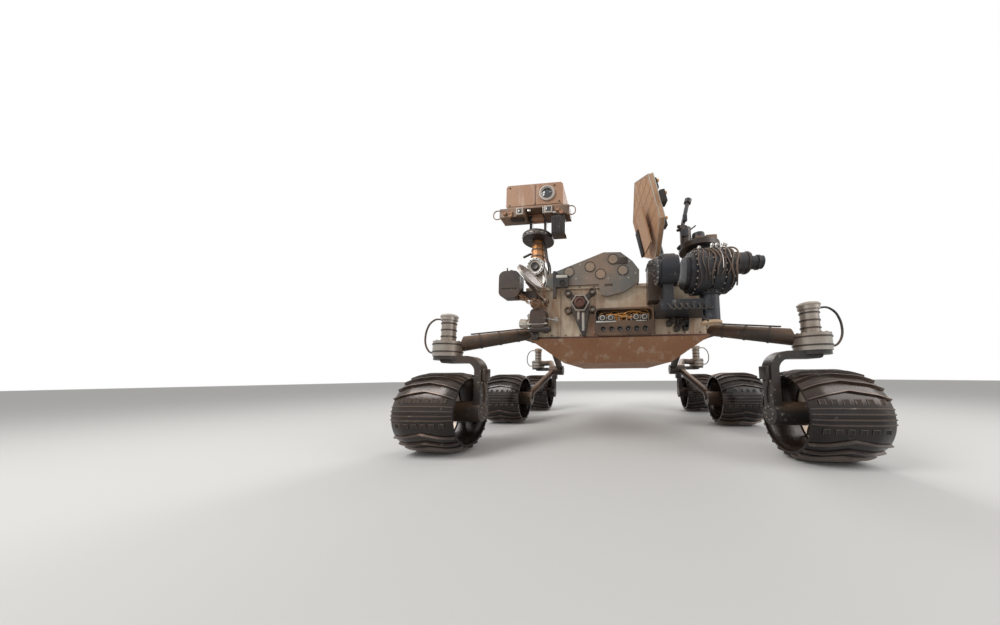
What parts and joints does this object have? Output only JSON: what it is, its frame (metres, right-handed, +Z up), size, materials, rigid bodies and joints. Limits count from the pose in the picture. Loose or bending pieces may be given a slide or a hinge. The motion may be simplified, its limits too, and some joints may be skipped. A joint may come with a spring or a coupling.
{
  "type": "planetary rover",
  "caption": "Wheeled robotic rover on rocker-bogie suspension, with steered corner wheels, camera mast, steerable antenna, folded arm and finned rear generator.",
  "frame": {"origin": "on the ground, under the middle of the rover's bounding box", "axes": "+Z up, the rover faces -Y, +X is its port side"},
  "size_m": [2.72, 2.782, 2.057],
  "materials": {
    "body_paint": "dusty cream paint",
    "belly_paint": "dusty tan paint",
    "deck_paint": "dusty white paint",
    "dark_hood": "dark grey with dust",
    "camera_black": "black",
    "dark_metal": "dark, dusty",
    "bronze_box": "brown",
    "bare_metal": "dusty bare metal",
    "mast_gold": "amber wrap",
    "head_tan": "dusty tan",
    "head_brown": "brown",
    "antenna_tan": "tan",
    "arm_dark": "dark blue-grey",
    "generator_grey": "pale grey paint",
    "plate_white": "dusty white paint",
    "wheel_metal": "black anodised, worn",
    "spoke_metal": "worn",
    "cable_black": "matt black sheath",
    "hose_brown": "brown wrap",
    "tube_brown": "dark, dusty"
  },
  "bodies": {
    "root": {"body_shell": "body_paint", "belly_pan": "belly_paint", "top_deck": "deck_paint", "deck_hood": "dark_hood", "hood_camera": "camera_black", "camera_bay": "body_paint", "front_cameras": "camera_black", "arm_restraint": "dark_metal", "bit_boxes": "bronze_box", "inspection_tray": "bare_metal", "mast_base": "bare_metal", "mast_tube": "mast_gold", "antenna_post": "dark_metal", "rocker_port": "tube_brown", "rocker_starboard": "tube_brown", "bogie_port": "tube_brown", "bogie_starboard": "tube_brown", "steering_drives": "bare_metal", "steering_cables": "cable_black", "front_hoses": "hose_brown", "arm_base": "dark_metal", "generator": "generator_grey", "generator_mount": "bare_metal", "heat_exchangers": "plate_white", "differential": "bare_metal", "sample_inlets": "bare_metal", "relay_antenna": "antenna_tan", "low_gain_antenna": "plate_white", "colour_target": "bare_metal"},
    "steer_front_port": {"yoke_front_port": "dark_metal"},
    "steer_front_starboard": {"yoke_front_starboard": "dark_metal"},
    "steer_rear_port": {"yoke_rear_port": "dark_metal"},
    "steer_rear_starboard": {"yoke_rear_starboard": "dark_metal"},
    "wheel_front_port": {"wheel_front_port": "wheel_metal", "hub_front_port": "spoke_metal"},
    "wheel_front_starboard": {"wheel_front_starboard": "wheel_metal", "hub_front_starboard": "spoke_metal"},
    "wheel_middle_port": {"wheel_middle_port": "wheel_metal", "hub_middle_port": "spoke_metal"},
    "wheel_middle_starboard": {"wheel_middle_starboard": "wheel_metal", "hub_middle_starboard": "spoke_metal"},
    "wheel_rear_port": {"wheel_rear_port": "wheel_metal", "hub_rear_port": "spoke_metal"},
    "wheel_rear_starboard": {"wheel_rear_starboard": "wheel_metal", "hub_rear_starboard": "spoke_metal"},
    "mast_pan": {"mast_pan": "dark_metal"},
    "mast_head": {"mast_head": "head_tan", "camera_bar": "head_brown", "head_heatsink": "dark_metal"},
    "antenna_arm": {"antenna_arm": "dark_metal"},
    "antenna_plate": {"antenna_plate": "antenna_tan"},
    "arm_shoulder": {"arm_shoulder": "arm_dark"},
    "upper_arm": {"upper_arm": "arm_dark"},
    "forearm": {"forearm": "arm_dark"},
    "wrist": {"wrist": "dark_metal"},
    "turret": {"turret": "arm_dark", "turret_drill": "dark_metal"},
    "inlet_lid_forward": {"inlet_lid_forward": "bare_metal"},
    "inlet_lid_aft": {"inlet_lid_aft": "bare_metal"}
  },
  "joints": [
    {"name": "steer_front_port", "type": "hinge", "parent": "root", "child": "steer_front_port", "pos_m": [1.14, -1.137, 0.6], "axis": [0, 0, 1], "range_deg": [-90, 90]},
    {"name": "steer_front_starboard", "type": "hinge", "parent": "root", "child": "steer_front_starboard", "pos_m": [-1.14, -1.137, 0.6], "axis": [0, 0, 1], "range_deg": [-90, 90]},
    {"name": "steer_rear_port", "type": "hinge", "parent": "root", "child": "steer_rear_port", "pos_m": [1.14, 1.013, 0.6], "axis": [0, 0, 1], "range_deg": [-90, 90]},
    {"name": "steer_rear_starboard", "type": "hinge", "parent": "root", "child": "steer_rear_starboard", "pos_m": [-1.14, 1.013, 0.6], "axis": [0, 0, 1], "range_deg": [-90, 90]},
    {"name": "roll_front_port", "type": "hinge", "parent": "steer_front_port", "child": "wheel_front_port", "pos_m": [1.14, -1.137, 0.254], "axis": [1, 0, 0], "continuous": true},
    {"name": "roll_front_starboard", "type": "hinge", "parent": "steer_front_starboard", "child": "wheel_front_starboard", "pos_m": [-1.14, -1.137, 0.254], "axis": [1, 0, 0], "continuous": true},
    {"name": "roll_middle_port", "type": "hinge", "parent": "root", "child": "wheel_middle_port", "pos_m": [1.16, -0.037, 0.254], "axis": [1, 0, 0], "continuous": true},
    {"name": "roll_middle_starboard", "type": "hinge", "parent": "root", "child": "wheel_middle_starboard", "pos_m": [-1.16, -0.037, 0.254], "axis": [1, 0, 0], "continuous": true},
    {"name": "roll_rear_port", "type": "hinge", "parent": "steer_rear_port", "child": "wheel_rear_port", "pos_m": [1.14, 1.013, 0.254], "axis": [1, 0, 0], "continuous": true},
    {"name": "roll_rear_starboard", "type": "hinge", "parent": "steer_rear_starboard", "child": "wheel_rear_starboard", "pos_m": [-1.14, 1.013, 0.254], "axis": [1, 0, 0], "continuous": true},
    {"name": "mast_pan", "type": "hinge", "parent": "root", "child": "mast_pan", "pos_m": [-0.64, -0.737, 1.668], "axis": [0, 0, 1], "range_deg": [-178, 178]},
    {"name": "mast_tilt", "type": "hinge", "parent": "mast_pan", "child": "mast_head", "pos_m": [-0.64, -0.737, 1.82], "axis": [1, 0, 0], "range_deg": [-87, 87]},
    {"name": "antenna_azimuth", "type": "hinge", "parent": "root", "child": "antenna_arm", "pos_m": [0.262, -1.037, 1.2253], "axis": [0, 0, 1], "range_deg": [-175, 175]},
    {"name": "antenna_elevation", "type": "hinge", "parent": "antenna_arm", "child": "antenna_plate", "pos_m": [0.262, -1.037, 1.566], "axis": [-0.1045, 0.9945, 0], "range_deg": [0, 100]},
    {"name": "arm_azimuth", "type": "hinge", "parent": "root", "child": "arm_shoulder", "pos_m": [0.552, -1.212, 0.9483], "axis": [0, 0, 1], "range_deg": [-130, 0]},
    {"name": "arm_elevation", "type": "hinge", "parent": "arm_shoulder", "child": "upper_arm", "pos_m": [0.673, -1.212, 1.14], "axis": [1, 0, 0], "range_deg": [0, 120]},
    {"name": "arm_elbow", "type": "hinge", "parent": "upper_arm", "child": "forearm", "pos_m": [0.63, -0.207, 1.232], "axis": [-1, 0, 0], "range_deg": [0, 140]},
    {"name": "arm_wrist", "type": "hinge", "parent": "forearm", "child": "wrist", "pos_m": [0.63, -0.637, 1.345], "axis": [-1, 0, 0], "range_deg": [0, 110]},
    {"name": "turret_turn", "type": "hinge", "parent": "wrist", "child": "turret", "pos_m": [0.63, -0.837, 1.378], "axis": [0, 0, 1], "range_deg": [-175, 175]},
    {"name": "open_inlet_forward", "type": "hinge", "parent": "root", "child": "inlet_lid_forward", "pos_m": [-0.13, -0.303, 1.1949], "axis": [-1, 0, 0], "range_deg": [0, 120]},
    {"name": "open_inlet_aft", "type": "hinge", "parent": "root", "child": "inlet_lid_aft", "pos_m": [0.11, -0.223, 1.1949], "axis": [-1, 0, 0], "range_deg": [0, 120]}
  ]
}
